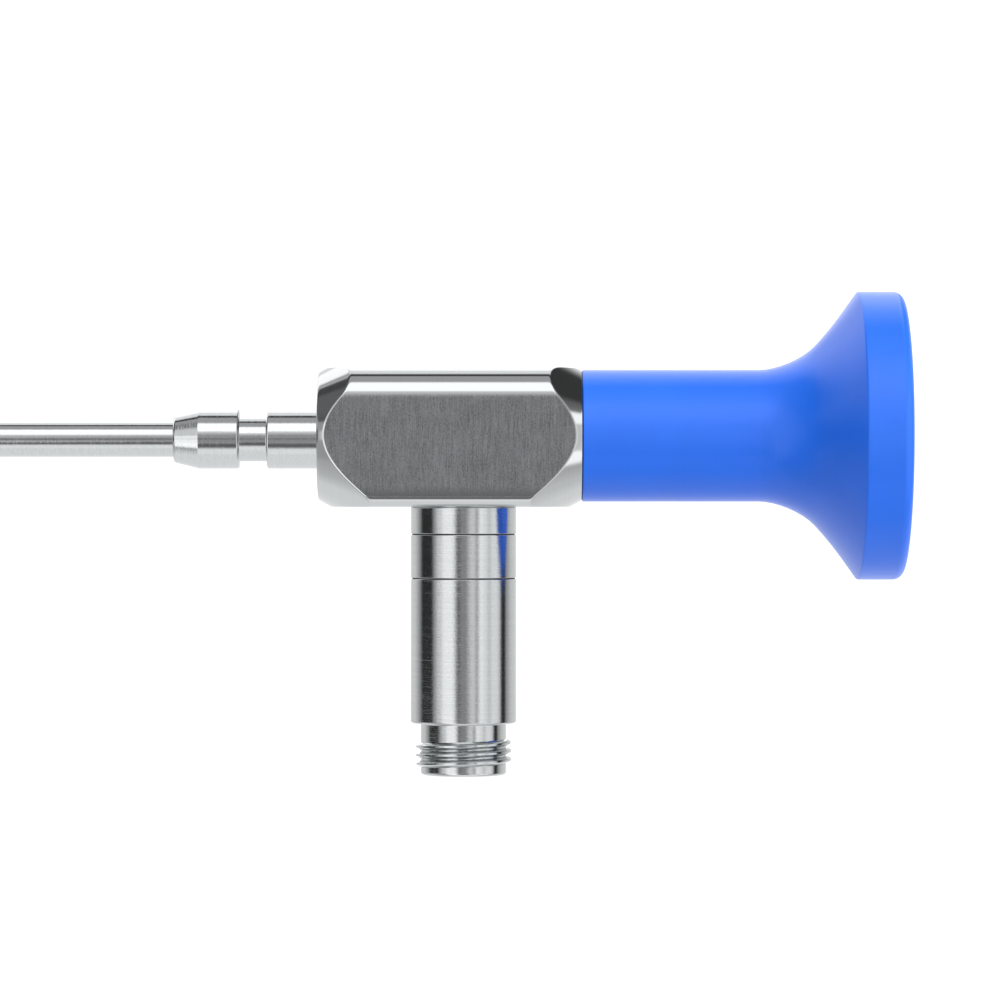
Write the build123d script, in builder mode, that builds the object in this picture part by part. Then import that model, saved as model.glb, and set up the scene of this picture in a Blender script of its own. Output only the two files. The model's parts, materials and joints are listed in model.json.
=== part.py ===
from build123d import *
import math
import os

os.makedirs("parts", exist_ok=True)

# A rigid endoscope of 4 mm with a 30 degree view. Sizes are in millimetres, angles in degrees.
# The optical axis runs from the shaft's tip to the eyecup and crosses the light post's axis.
# Stations are distances along the optical axis from that crossing, positive towards the eyecup.
# Drops are distances from the optical axis towards the end of the light post.

# Shaft: the outer tube carries the light fibres round the eccentric optics tube
working_length = 140.0
shaft_diameter = 4.0
shaft_wall = 0.15
optics_tube_diameter = 2.92
optics_tube_wall = 0.13
view_angle = 30.0

# Collar between shaft and block, with the groove that a sheath locks into
nose_diameter = 5.2
nose_length = 2.8
nose_round = 0.35
collar_diameter = 6.6
front_land = 4.4
lock_groove_diameter = 5.0
lock_groove_length = 3.1
rear_land = 5.65
collar_edge_round = 0.2
collar_spigot_diameter = 5.6
collar_spigot_length = 3.5

# Block: a bar with turned ends and rounded upper edges
block_length = 29.05
post_station = 15.95
block_above = 7.5
block_below = 7.85
block_depth = 15.0
block_face_diameter = 14.16
block_cone_angle = 29.0
block_top_round = 3.6
block_bottom_round = 1.25
block_edge_break = 0.12

# Eyecup: a barrel that flares out to the rim that a camera or an eye comes up to
barrel_diameter = 14.5
eyecup_length = 35.25
rim_diameter = 31.7
rim_land = 5.0
flare_radius = 8.6
flare_turn = 46.0
skirt_radius = 30.0
skirt_turn = 8.5
rim_front_round = 0.3
rim_back_round = 1.1
rim_lip = 1.85
funnel_depth = 14.3
funnel_throat_diameter = 10.4
throat_length = 2.4
eyecup_lip = 0.55

# Eyepiece housing, its lenses and its window
housing_diameter = 11.8
housing_spigot_diameter = 10.0
housing_spigot_length = 9.5
ocular_path_diameter = 6.0
ocular_bore_diameter = 8.4
ocular_seat = 1.0
ocular_front_length = 2.2
ocular_rear_length = 1.5
ocular_sag = 0.55
retainer_length = 2.0
retainer_width = 0.9
window_ring_length = 1.6
window_ring_width = 1.7
eyepiece_window_diameter = 9.0
eyepiece_window_length = 0.9
field_stop_length = 0.6
field_stop_aperture = 2.0
seal_section = 1.0
seal_slack = 0.2
seal_station = 3.0

# Lens train in the optics tube
tip_window_length = 0.6
tip_lens_length = 0.5
tip_lens_hollow = 0.18
tip_lens_hollow_diameter = 2.1
front_prism_length = 1.8
rear_prism_length = 1.1
prism_joint_angle = -30.0
objective_front_length = 1.3
objective_rear_length = 0.9
objective_sag = 0.2
rod_count = 6
rear_spacer_length = 13.0
rod_sag = 0.12
spacer_length = 5.0
spacer_wall = 0.2

# Light post, its two adapters and the glass in it
post_diameter = 11.6
flange_length = 3.0
ring_length = 4.85
sleeve_length = 15.95
post_length = 29.5
post_edge_break = 0.14
post_end_chamfer = 0.35
sleeve_end_round = 0.25
post_spigot_diameter = 5.6
post_spigot_length = 1.6
core_diameter = 7.4
core_tip_diameter = 6.0
core_tip_length = 5.1
end_recess = 1.6
bundle_diameter = 2.2
fibre_top = 0.6
cone_sleeve_length = 7.7
cone_sleeve_wall = 0.55
cone_diameter = 4.0
post_window_diameter = 4.4
post_window_length = 0.8
post_seal_section = 0.9

# Thread on the post's neck that a light cable screws onto
neck_diameter = 9.38
thread_diameter = 10.5
thread_pitch = 0.94
thread_turns = 3
thread_from_end = 1.5
thread_root = 0.64
thread_crest = 0.12

# Fits: gaps between pieces that slide together or are bonded
tube_gap = 0.05
slide_gap = 0.03
lens_gap = 0.02
bundle_gap = 0.08
seat_gap = 0.02

# Sizes that follow from these
shaft_radius = shaft_diameter / 2
shaft_bore_radius = shaft_radius - shaft_wall
optics_tube_radius = optics_tube_diameter / 2
optics_bore_radius = optics_tube_radius - optics_tube_wall
shaft_drop = shaft_bore_radius - optics_tube_radius - tube_gap
collar_radius = collar_diameter / 2
collar_spigot_radius = collar_spigot_diameter / 2
collar_length = nose_length + front_land + lock_groove_length + rear_land
rim_radius = rim_diameter / 2
barrel_radius = barrel_diameter / 2
housing_radius = housing_diameter / 2
housing_spigot_radius = housing_spigot_diameter / 2
post_radius = post_diameter / 2
neck_radius = neck_diameter / 2
core_radius = core_diameter / 2
core_tip_radius = core_tip_diameter / 2
thread_radius = thread_diameter / 2
post_spigot_radius = post_spigot_diameter / 2
bundle_radius = bundle_diameter / 2
cone_radius = cone_diameter / 2
post_window_radius = post_window_diameter / 2

# Stations along the optical axis
block_front = -post_station
block_back = block_front + block_length
collar_front = block_front - collar_length
tip_station = collar_front - working_length
shaft_back = block_front + collar_spigot_length
housing_front = block_back - housing_spigot_length
rim_back = block_back + eyecup_length

tip_face = tip_station + shaft_drop * math.tan(math.radians(view_angle))

# The flare's outline: two arcs and a straight skirt, measured back from the rim's front corner
skirt_angle = flare_turn + skirt_turn
skirt_chord = 2 * skirt_radius * math.sin(math.radians(skirt_turn / 2))
skirt_chord_angle = math.radians(flare_turn + skirt_turn / 2)
skirt_start_radius = barrel_radius + flare_radius * (1 - math.cos(math.radians(flare_turn)))
skirt_end_radius = skirt_start_radius + skirt_chord * math.sin(skirt_chord_angle)
rim_front = rim_back - rim_land
skirt_end = rim_front - (rim_radius - skirt_end_radius) / math.tan(math.radians(skirt_angle))
skirt_start = skirt_end - skirt_chord * math.cos(skirt_chord_angle)
flare_station = skirt_start - flare_radius * math.sin(math.radians(flare_turn))

# Drops along the light post's axis
flange_end = block_below + flange_length
ring_end = flange_end + ring_length
sleeve_end = ring_end + sleeve_length
post_end = block_below + post_length
glass_end = post_end - end_recess
core_end = glass_end - core_tip_length
thread_end = post_end - thread_from_end
cone_start = glass_end - cone_sleeve_length

# The scope lies on the front edge of its rim, the tip of its shaft and the last turn of the
# thread. Each of these is a ring: its centre, its two arms and the rounding of its edge, seen
# along the optical axis, away from the light post and square to both.
slant = math.tan(math.radians(view_angle))
rim_corner = rim_front + rim_front_round * math.tan(math.radians(skirt_angle / 2))
rim_ring = (
    Vector(rim_corner, 0, 0),
    Vector(0, rim_radius - rim_front_round, 0),
    Vector(0, 0, rim_radius - rim_front_round),
    rim_front_round,
)
tip_ring = (
    Vector(tip_station, -shaft_drop, 0),
    Vector(shaft_radius * slant, shaft_radius, 0),
    Vector(0, 0, shaft_radius),
    0.0,
)
thread_ring = (
    Vector(0, -thread_end - thread_crest / 2, 0),
    Vector(thread_radius, 0, 0),
    Vector(0, 0, thread_radius),
    0.0,
)
back_ring = (
    Vector(rim_back - rim_back_round, 0, 0),
    Vector(0, rim_radius - rim_back_round, 0),
    Vector(0, 0, rim_radius - rim_back_round),
    rim_back_round,
)
post_ring = (
    Vector(0, -post_end, 0),
    Vector(neck_radius - post_end_chamfer, 0, 0),
    Vector(0, 0, neck_radius - post_end_chamfer),
    0.0,
)


def spread(ring, direction):
    """How far a ring stands out from its own centre in a direction."""
    return math.hypot(ring[1].dot(direction), ring[2].dot(direction)) + ring[3]


def reach(ring, direction):
    """How far a ring stands out from the crossing of the two axes in a direction."""
    return ring[0].dot(direction) + spread(ring, direction)


# The upward direction that sets all three rings on one level, found by repetition
up = Vector(0, 0, 1)
for _ in range(40):
    rise_x = (
        spread(rim_ring, up) - spread(tip_ring, up) + tip_ring[0].Y * up.Y
    ) / (rim_ring[0].X - tip_ring[0].X)
    rise_y = (
        spread(rim_ring, up) - spread(thread_ring, up) - rim_ring[0].X * rise_x
    ) / -thread_ring[0].Y
    up = Vector(rise_x, rise_y, math.sqrt(1 - rise_x**2 - rise_y**2))
along = (Vector(1, 0, 0) - up * up.X).normalized()
across = up.cross(along)

# The origin lies on the surface, under the middle of the resting scope
middle_x = (reach(back_ring, along) - reach(tip_ring, along * -1)) / 2
middle_y = (reach(rim_ring, across) - reach(post_ring, across * -1)) / 2
scope = Plane(
    origin=(-middle_x, -middle_y, reach(rim_ring, up * -1)),
    x_dir=(along.X, across.X, up.X),
    z_dir=(along.Z, across.Z, up.Z),
)
optical_axis = Axis(scope.origin, scope.x_dir)
post_axis = Axis(scope.origin, scope.y_dir * -1)


def point(station, drop=0.0):
    """A point of the scope's plane, by its station and its drop."""
    return scope.from_local_coords(Vector(station, -drop, 0))


def across_at(station, drop=0.0):
    """A plane across the scope at a station, with its middle at a drop."""
    return Plane(origin=point(station, drop), x_dir=scope.z_dir * -1, z_dir=scope.x_dir)


def down_at(drop):
    """A plane across the light post at a drop, facing the post's end."""
    return Plane(origin=point(0, drop), x_dir=scope.x_dir, z_dir=scope.y_dir * -1)


shaft_plane = Plane(origin=point(0, shaft_drop), x_dir=scope.x_dir, z_dir=scope.z_dir)
shaft_axis = Axis(shaft_plane.origin, shaft_plane.x_dir)


def slanted(station, angle=view_angle):
    """A plane that crosses the optical axis at a station and faces the viewed side."""
    turn = math.radians(angle)
    facing = scope.x_dir * -math.cos(turn) + scope.y_dir * math.sin(turn)
    return Plane(origin=point(station), z_dir=facing)


def rims(piece, radius):
    """The round edges of a piece that have a given radius."""
    rounds = piece.edges().filter_by(GeomType.CIRCLE)
    return ShapeList(edge for edge in rounds if abs(edge.radius - radius) < 0.001)


def lens_face(edge, sag, radius):
    """Half of a lens face, from the axis to its edge; a positive sag leads to the eyecup."""
    if sag == 0:
        return Line((edge, 0), (edge, radius))
    curvature = (radius**2 + sag**2) / (2 * sag)
    half_turn = math.asin(radius / curvature) / 2
    vertex = edge + sag
    on_the_way = (vertex - curvature * (1 - math.cos(half_turn)), curvature * math.sin(half_turn))
    return ThreePointArc((vertex, 0), on_the_way, (edge, radius))


# Collar: nose cone, front land, lock groove, rear land and the spigot in the block
groove_front = collar_front + nose_length + front_land
groove_back = groove_front + lock_groove_length
with BuildPart() as shaft_collar:
    with BuildSketch(shaft_plane):
        with BuildLine():
            Polyline(
                (collar_front, shaft_radius + slide_gap),
                (collar_front, nose_diameter / 2),
                (collar_front + nose_length, collar_radius),
                (groove_front, collar_radius),
                (groove_front, lock_groove_diameter / 2),
                (groove_back, lock_groove_diameter / 2),
                (groove_back, collar_radius),
                (block_front, collar_radius),
                (block_front, collar_spigot_radius),
                (shaft_back, collar_spigot_radius),
                (shaft_back, shaft_radius + slide_gap),
                close=True,
            )
        make_face()
    revolve(axis=shaft_axis)
    lands = rims(shaft_collar, collar_radius).sort_by(shaft_axis)
    fillet(rims(shaft_collar, nose_diameter / 2), nose_round)
    fillet(lands[:-1], collar_edge_round)
shaft_collar.part.label = "shaft_collar"
export_step(shaft_collar.part, "parts/shaft_collar.step")

# Outer shaft: it passes through the collar and ends in the block, its tip cut at a slant
with BuildPart() as outer_shaft:
    with BuildSketch(across_at(tip_station - shaft_diameter, shaft_drop)):
        Circle(shaft_radius)
        Circle(shaft_bore_radius, mode=Mode.SUBTRACT)
    extrude(amount=shaft_back - tip_station + shaft_diameter)
    split(bisect_by=slanted(tip_face), keep=Keep.BOTTOM)
outer_shaft.part.label = "outer_shaft"
export_step(outer_shaft.part, "parts/outer_shaft.step")

# Optics tube: inside the shaft on its upper side, through the block into the eyepiece housing
optics_back = housing_front - seat_gap
with BuildPart() as optics_tube:
    with BuildSketch(across_at(tip_station - shaft_diameter)):
        Circle(optics_tube_radius)
        Circle(optics_bore_radius, mode=Mode.SUBTRACT)
    extrude(amount=optics_back - tip_station + shaft_diameter)
    split(bisect_by=slanted(tip_face), keep=Keep.BOTTOM)
optics_tube.part.label = "optics_tube"
export_step(optics_tube.part, "parts/optics_tube.step")

# Light fibres: a crescent round the optics tube, gathered behind the shaft into a round bundle
# that bends down into the light post
fibre_gap = slide_gap
bundle_drop = optics_tube_radius + fibre_gap + bundle_radius
bundle_bend_radius = block_below - post_spigot_length - bundle_drop
bend_station = -bundle_bend_radius
crescent_radius = shaft_bore_radius - fibre_gap
with BuildLine(scope) as bundle_path:
    FilletPolyline(
        (shaft_back + fibre_gap, -bundle_drop),
        (0, -bundle_drop),
        (0, -cone_start + seat_gap),
        radius=bundle_bend_radius,
    )
with BuildPart() as light_fibres:
    with BuildSketch(across_at(tip_station - shaft_diameter)):
        with Locations((0, -shaft_drop)):
            Circle(crescent_radius)
        Circle(optics_tube_radius + fibre_gap, mode=Mode.SUBTRACT)
        with Locations((0, fibre_top)):
            Rectangle(
                shaft_diameter,
                shaft_diameter,
                align=(Align.CENTER, Align.MIN),
                mode=Mode.SUBTRACT,
            )
    extrude(amount=bend_station - tip_station + shaft_diameter)
    split(bisect_by=slanted(tip_face), keep=Keep.BOTTOM)
    with BuildSketch(across_at(shaft_back + fibre_gap, bundle_drop)):
        Circle(bundle_radius)
    sweep(path=bundle_path.line)
light_fibres.part.label = "light_fibres"
export_step(light_fibres.part, "parts/light_fibres.step")

# Block: a bar, turned at both ends, bored for the shaft, the fibres, the post and the housing
chamber_radius = optics_tube_radius + bundle_radius + fibre_gap + bundle_gap
chamber_drop = chamber_radius - optics_tube_radius - bundle_gap
cone_slope = math.tan(math.radians(block_cone_angle))
bar_corner = math.hypot(block_below, block_depth / 2)
cone_length = (bar_corner - block_face_diameter / 2) / cone_slope
with BuildPart() as body_block:
    with BuildSketch(scope):
        with Locations(((block_front + block_back) / 2, -block_below)):
            Rectangle(block_length, block_above + block_below, align=(Align.CENTER, Align.MIN))
    extrude(amount=block_depth / 2, both=True)
    lengthwise = body_block.edges().filter_by(Axis(scope.origin, scope.x_dir))
    lengthwise = lengthwise.sort_by(Axis(scope.origin, scope.y_dir))
    fillet(lengthwise[2:], block_top_round)
    lengthwise = body_block.edges().filter_by(Axis(scope.origin, scope.x_dir))
    lengthwise = lengthwise.sort_by(Axis(scope.origin, scope.y_dir))
    fillet(lengthwise[:2], block_bottom_round)
    with BuildSketch(scope):
        with BuildLine():
            Polyline(
                (block_front, 0),
                (block_front, block_face_diameter / 2),
                (block_front + cone_length, bar_corner),
                (block_back - cone_length, bar_corner),
                (block_back, block_face_diameter / 2),
                (block_back, 0),
                close=True,
            )
        make_face()
    revolve(axis=optical_axis, mode=Mode.INTERSECT)
    fillet(body_block.edges(), block_edge_break)
    with BuildSketch(across_at(block_front, shaft_drop)):
        Circle(collar_spigot_radius + slide_gap)
    extrude(amount=collar_spigot_length, mode=Mode.SUBTRACT)
    with BuildSketch(across_at(shaft_back, chamber_drop)):
        Circle(chamber_radius)
    extrude(amount=bend_station - shaft_back, mode=Mode.SUBTRACT)
    with BuildSketch(across_at(shaft_back, bundle_drop)):
        Circle(bundle_radius + bundle_gap)
    sweep(path=bundle_path.line, mode=Mode.SUBTRACT)
    with BuildSketch(across_at(bend_station)):
        Circle(optics_tube_radius + slide_gap)
    extrude(amount=block_back - bend_station, mode=Mode.SUBTRACT)
    with BuildSketch(across_at(housing_front)):
        Circle(housing_spigot_radius + slide_gap)
    extrude(amount=housing_spigot_length, mode=Mode.SUBTRACT)
    with BuildSketch(down_at(block_below)):
        Circle(post_spigot_radius + slide_gap)
    extrude(amount=-post_spigot_length, mode=Mode.SUBTRACT)
body_block.part.label = "body_block"
export_step(body_block.part, "parts/body_block.step")

# Eyepiece housing: its spigot sits in the block, its barrel carries the eyecup
barrel_end = rim_back - funnel_depth
window_station = barrel_end - window_ring_length
ocular_station = block_back + ocular_seat
seal_radius = seal_section / 2
seal_groove_radius = housing_radius + slide_gap - seal_section
with BuildPart() as eyepiece_housing:
    with BuildSketch(scope):
        with BuildLine():
            Polyline(
                (housing_front, ocular_path_diameter / 2),
                (housing_front, housing_spigot_radius),
                (block_back, housing_spigot_radius),
                (block_back, housing_radius),
                (window_station, housing_radius),
                (window_station, ocular_bore_diameter / 2),
                (ocular_station, ocular_bore_diameter / 2),
                (ocular_station, ocular_path_diameter / 2),
                close=True,
            )
        make_face()
        with Locations((block_back + seal_station, seal_groove_radius)):
            Rectangle(
                seal_section + seal_slack,
                housing_diameter,
                align=(Align.CENTER, Align.MIN),
                mode=Mode.SUBTRACT,
            )
    revolve(axis=optical_axis)
eyepiece_housing.part.label = "eyepiece_housing"
export_step(eyepiece_housing.part, "parts/eyepiece_housing.step")

# Seal ring between the housing and the eyecup
with BuildPart() as eyecup_seal:
    with BuildSketch(scope):
        with Locations((block_back + seal_station, seal_groove_radius + seal_radius)):
            Circle(seal_radius - seat_gap / 2)
    revolve(axis=optical_axis)
eyecup_seal.part.label = "eyecup_seal"
export_step(eyecup_seal.part, "parts/eyecup_seal.step")

# Ring on the housing's end that holds the window
window_radius = eyepiece_window_diameter / 2
with BuildPart() as window_ring:
    with BuildSketch(scope):
        with BuildLine():
            Polyline(
                (window_station, housing_radius - window_ring_width),
                (window_station, housing_radius),
                (barrel_end, housing_radius),
                (barrel_end, window_radius + lens_gap),
                (barrel_end - eyepiece_window_length, window_radius + lens_gap),
                (barrel_end - eyepiece_window_length, housing_radius - window_ring_width),
                close=True,
            )
        make_face()
    revolve(axis=optical_axis)
window_ring.part.label = "window_ring"
export_step(window_ring.part, "parts/window_ring.step")

# Eyecup: barrel, flare and rim outside, bore for the housing and funnel inside
funnel_radius = rim_radius - rim_lip
throat_radius = funnel_throat_diameter / 2
funnel_start = barrel_end + throat_length
with BuildPart() as eyecup:
    with BuildSketch(scope):
        with BuildLine():
            Line((block_back, barrel_radius), (flare_station, barrel_radius))
            JernArc((flare_station, barrel_radius), (1, 0), flare_radius, flare_turn)
            skirt_way = math.radians(flare_turn)
            JernArc(
                (skirt_start, skirt_start_radius),
                (math.cos(skirt_way), math.sin(skirt_way)),
                skirt_radius,
                skirt_turn,
            )
            Polyline(
                (skirt_end, skirt_end_radius),
                (rim_front, rim_radius),
                (rim_back, rim_radius),
                (rim_back, funnel_radius),
                (funnel_start, throat_radius),
                (barrel_end, throat_radius),
                (barrel_end, housing_radius + slide_gap),
                (block_back, housing_radius + slide_gap),
                (block_back, barrel_radius),
            )
        make_face()
    revolve(axis=optical_axis)
    rim_edges = rims(eyecup, rim_radius).sort_by(optical_axis)
    fillet(rim_edges[:1], rim_front_round)
    fillet(rims(eyecup, rim_radius).sort_by(optical_axis)[-1:], rim_back_round)
    fillet(rims(eyecup, funnel_radius), eyecup_lip)
    fillet(rims(eyecup, throat_radius).sort_by(optical_axis)[-1:], eyecup_lip)
eyecup.part.label = "eyecup"
export_step(eyecup.part, "parts/eyecup.step")

# Lens train: it starts behind the slanting tip and is stacked rod after rod
glass_radius = optics_bore_radius - lens_gap
tip_lens_front = tip_face + tip_window_length + seat_gap
tip_lens_back = tip_lens_front + tip_lens_length
prism_front = tip_lens_back + seat_gap
prism_joint = prism_front + front_prism_length
prism_back = prism_joint + seat_gap + rear_prism_length
objective_front = prism_back + seat_gap
objective_joint = objective_front + objective_front_length
objective_back = objective_joint + seat_gap + objective_rear_length


def tip_glass(label, front, back):
    """A piece of round glass in the tip, cut by a plane at its front and one at its back."""
    with BuildPart() as glass:
        with BuildSketch(across_at(tip_face - shaft_diameter)):
            Circle(glass_radius)
        extrude(amount=prism_back - tip_face + 2 * shaft_diameter)
        split(bisect_by=front, keep=Keep.BOTTOM)
        split(bisect_by=back, keep=Keep.TOP)
    glass.part.label = label
    export_step(glass.part, f"parts/{label}.step")


def lens(label, front, back, radius, front_sag=0.0, back_sag=0.0):
    """A lens on the optical axis, from its front edge to its back edge."""
    with BuildPart() as glass:
        with BuildSketch(scope):
            with BuildLine():
                lens_face(front, front_sag, radius)
                Line((front, radius), (back, radius))
                lens_face(back, back_sag, radius)
                Line((front + front_sag, 0), (back + back_sag, 0))
            make_face()
        revolve(axis=optical_axis)
    glass.part.label = label
    export_step(glass.part, f"parts/{label}.step")


def spacer(label, front, back, radius, bore):
    """A plain ring or tube on the optical axis."""
    with BuildPart() as ring:
        with BuildSketch(across_at(front)):
            Circle(radius)
            Circle(bore, mode=Mode.SUBTRACT)
        extrude(amount=back - front)
    ring.part.label = label
    export_step(ring.part, f"parts/{label}.step")


tip_glass("distal_window", slanted(tip_face), slanted(tip_face + tip_window_length))
tip_glass("front_prism", slanted(prism_front), slanted(prism_joint, prism_joint_angle))
tip_glass("rear_prism", slanted(prism_joint + seat_gap, prism_joint_angle), slanted(prism_back, 0))

# Hollow lens behind the distal window, slanted with it
hollow_radius = tip_lens_hollow_diameter / 2
hollow_curvature = (hollow_radius**2 + tip_lens_hollow**2) / (2 * tip_lens_hollow)
with BuildPart() as negative_lens:
    with BuildSketch(across_at(tip_face - shaft_diameter)):
        Circle(glass_radius)
    extrude(amount=2 * shaft_diameter)
    split(bisect_by=slanted(tip_lens_front), keep=Keep.BOTTOM)
    split(bisect_by=slanted(tip_lens_back), keep=Keep.TOP)
    with Locations(slanted(tip_lens_back).offset(tip_lens_hollow - hollow_curvature)):
        Sphere(hollow_curvature, mode=Mode.SUBTRACT)
negative_lens.part.label = "negative_lens"
export_step(negative_lens.part, "parts/negative_lens.step")

lens("objective_lens_front", objective_front, objective_joint, glass_radius, 0.0, objective_sag)
lens(
    "objective_lens_rear",
    objective_joint + seat_gap,
    objective_back,
    glass_radius,
    objective_sag,
)

# Rods and spacers share the length between the objective and the rear spacer equally
spacer_bore = glass_radius - spacer_wall
rear_spacer_front = optics_back - rear_spacer_length
train_pitch = (rear_spacer_front - objective_back - seat_gap) / rod_count
rod_length = train_pitch - spacer_length - 2 * seat_gap
for rod in range(rod_count):
    spacer_front = objective_back + seat_gap + rod * train_pitch
    rod_front = spacer_front + spacer_length + seat_gap
    spacer(f"rod_spacer_{rod + 1}", spacer_front, rod_front - seat_gap, glass_radius, spacer_bore)
    lens(f"rod_lens_{rod + 1}", rod_front, rod_front + rod_length, glass_radius, -rod_sag, rod_sag)
spacer("rear_spacer", rear_spacer_front, optics_back, glass_radius, spacer_bore)

# Field stop and ocular lenses in the housing
stop_radius = ocular_path_diameter / 2 - slide_gap
ocular_radius = ocular_bore_diameter / 2 - lens_gap
ocular_front = ocular_station + seat_gap
ocular_joint = ocular_front + ocular_front_length
ocular_back = ocular_joint + seat_gap + ocular_rear_length
spacer(
    "field_stop",
    housing_front,
    housing_front + field_stop_length,
    stop_radius,
    field_stop_aperture / 2,
)
lens("ocular_lens_front", ocular_front, ocular_joint, ocular_radius, 0.0, ocular_sag)
lens("ocular_lens_rear", ocular_joint + seat_gap, ocular_back, ocular_radius, ocular_sag)
spacer(
    "ocular_retainer",
    ocular_back + seat_gap,
    ocular_back + seat_gap + retainer_length,
    ocular_radius,
    ocular_radius - retainer_width,
)
lens("eyepiece_window", barrel_end - eyepiece_window_length + seat_gap, barrel_end, window_radius)

# Light post: flange, core with two seal grooves, and the tip that holds the condenser glass
ring_seal_drop = (flange_end + ring_end) / 2
sleeve_seal_drop = ring_end + ring_length / 2
post_seal_radius = post_seal_section / 2
post_groove_radius = core_radius + slide_gap - post_seal_section
cone_seat_radius = core_tip_radius - cone_sleeve_wall + slide_gap
with BuildPart() as light_post:
    with BuildSketch(scope):
        with BuildLine():
            Polyline(
                (bundle_radius + slide_gap, post_spigot_length - block_below),
                (post_spigot_radius, post_spigot_length - block_below),
                (post_spigot_radius, -block_below),
                (post_radius, -block_below),
                (post_radius, -flange_end),
                (core_radius, -flange_end),
                (core_radius, -core_end),
                (core_tip_radius, -core_end),
                (core_tip_radius, -glass_end),
                (cone_seat_radius, -glass_end),
                (cone_seat_radius, -cone_start),
                (bundle_radius + slide_gap, -cone_start),
                close=True,
            )
        make_face()
        with Locations(
            (post_groove_radius, -ring_seal_drop), (post_groove_radius, -sleeve_seal_drop)
        ):
            Rectangle(
                post_radius,
                post_seal_section + seal_slack,
                align=(Align.MIN, Align.CENTER),
                mode=Mode.SUBTRACT,
            )
    revolve(axis=post_axis)
    chamfer(rims(light_post, post_radius), post_edge_break)
light_post.part.label = "light_post"
export_step(light_post.part, "parts/light_post.step")

for label, drop in (("ring_seal", ring_seal_drop), ("sleeve_seal", sleeve_seal_drop)):
    with BuildPart() as seal:
        with BuildSketch(scope):
            with Locations((post_groove_radius + post_seal_radius, -drop)):
                Circle(post_seal_radius - seat_gap / 2)
        revolve(axis=post_axis)
    seal.part.label = label
    export_step(seal.part, f"parts/{label}.step")

# First adapter: a ring round the core
with BuildPart() as adapter_ring:
    with BuildSketch(down_at(flange_end)):
        Circle(post_radius)
        Circle(core_radius + slide_gap, mode=Mode.SUBTRACT)
    extrude(amount=ring_length)
    chamfer(rims(adapter_ring, post_radius), post_edge_break)
adapter_ring.part.label = "adapter_ring"
export_step(adapter_ring.part, "parts/adapter_ring.step")

# Second adapter: a sleeve whose neck has the thread for the light cable, here as plain ridges
# that stand for its turns
thread_outline = []
for turn in range(thread_turns):
    crest = thread_end - thread_pitch * (thread_turns - 1 - turn)
    thread_outline += [
        (neck_radius, -crest + thread_root / 2),
        (thread_radius, -crest + thread_crest / 2),
        (thread_radius, -crest - thread_crest / 2),
        (neck_radius, -crest - thread_root / 2),
    ]
with BuildPart() as adapter_sleeve:
    with BuildSketch(scope):
        with BuildLine():
            Polyline(
                (core_radius + slide_gap, -ring_end),
                (post_radius, -ring_end),
                (post_radius, -sleeve_end),
                (neck_radius, -sleeve_end),
                *thread_outline,
                (neck_radius, -post_end),
                (core_tip_radius + slide_gap, -post_end),
                (core_tip_radius + slide_gap, -core_end - slide_gap),
                (core_radius + slide_gap, -core_end - slide_gap),
                close=True,
            )
        make_face()
    revolve(axis=post_axis)
    sleeve_rims = rims(adapter_sleeve, post_radius).sort_by(post_axis)
    chamfer(sleeve_rims[:1], post_edge_break)
    fillet(rims(adapter_sleeve, post_radius).sort_by(post_axis)[-1:], sleeve_end_round)
    chamfer(rims(adapter_sleeve, neck_radius).sort_by(post_axis)[-1:], post_end_chamfer)
adapter_sleeve.part.label = "adapter_sleeve"
export_step(adapter_sleeve.part, "parts/adapter_sleeve.step")

# Condenser at the post's end: a glass cone in a sleeve, behind a flat window
cone_end = glass_end - post_window_length
with BuildPart() as cone_sleeve:
    with BuildSketch(scope):
        with BuildLine():
            Polyline(
                (bundle_radius + slide_gap, -cone_start),
                (cone_seat_radius - slide_gap, -cone_start),
                (cone_seat_radius - slide_gap, -glass_end),
                (post_window_radius + lens_gap, -glass_end),
                (post_window_radius + lens_gap, -cone_end),
                (cone_radius + slide_gap, -cone_end),
                close=True,
            )
        make_face()
    revolve(axis=post_axis)
cone_sleeve.part.label = "cone_sleeve"
export_step(cone_sleeve.part, "parts/cone_sleeve.step")

with BuildPart() as light_cone:
    with BuildSketch(scope):
        with BuildLine():
            Polyline(
                (0, -cone_start),
                (bundle_radius, -cone_start),
                (cone_radius, -cone_end + seat_gap),
                (0, -cone_end + seat_gap),
                close=True,
            )
        make_face()
    revolve(axis=post_axis)
light_cone.part.label = "light_cone"
export_step(light_cone.part, "parts/light_cone.step")

with BuildPart() as post_window:
    with BuildSketch(down_at(cone_end)):
        Circle(post_window_radius)
    extrude(amount=post_window_length)
post_window.part.label = "post_window"
export_step(post_window.part, "parts/post_window.step")
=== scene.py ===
"""A rigid endoscope of 4 mm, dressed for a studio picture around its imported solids.

Sizes are in millimetres along the scope's own axes: x runs along the optical axis towards the
eyecup, y away from the light post and z towards the camera. A station is a distance along x from
the light post's axis, and a drop is a distance along the light post's axis towards its end.
"""

from __future__ import annotations

import json
import logging
import math
from dataclasses import dataclass
from enum import Enum
from typing import Any, Callable, Iterable, Sequence

import bmesh
import bpy
from mathutils import Matrix, Vector

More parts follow.
